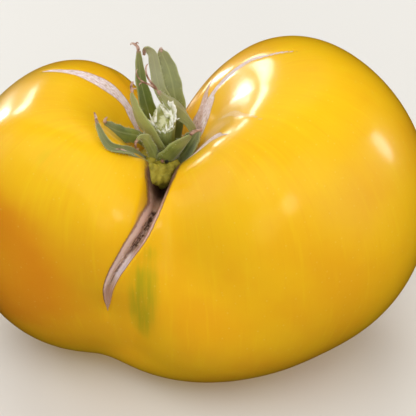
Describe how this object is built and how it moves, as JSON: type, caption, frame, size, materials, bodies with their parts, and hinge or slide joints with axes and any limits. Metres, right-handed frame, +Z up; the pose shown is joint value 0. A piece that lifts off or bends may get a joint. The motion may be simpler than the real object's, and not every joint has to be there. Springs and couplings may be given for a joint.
{
  "type": "tomato",
  "caption": "Large yellow beefsteak tomato with a deep cleft between lobes, corky scars, a ragged green calyx and a torn stalk end, lying on its blossom end.",
  "frame": {"origin": "centre of the box's base, on the surface that the fruit rests on", "axes": "+X across the two lobes towards the larger one, +Y towards the back, along the cleft, +Z up through the stem end"},
  "size_m": [0.1264, 0.0916, 0.0837],
  "materials": {
    "fruit": "smooth glossy skin, golden yellow with paler shoulders and an orange blush",
    "calyx": "matt green leaf, finely hairy, with dried brown tips",
    "stem_stub": "torn pale green fibres"
  },
  "bodies": {
    "root": {"fruit": "fruit", "calyx": "calyx", "stem_stub": "stem_stub"}
  },
  "joints": []
}
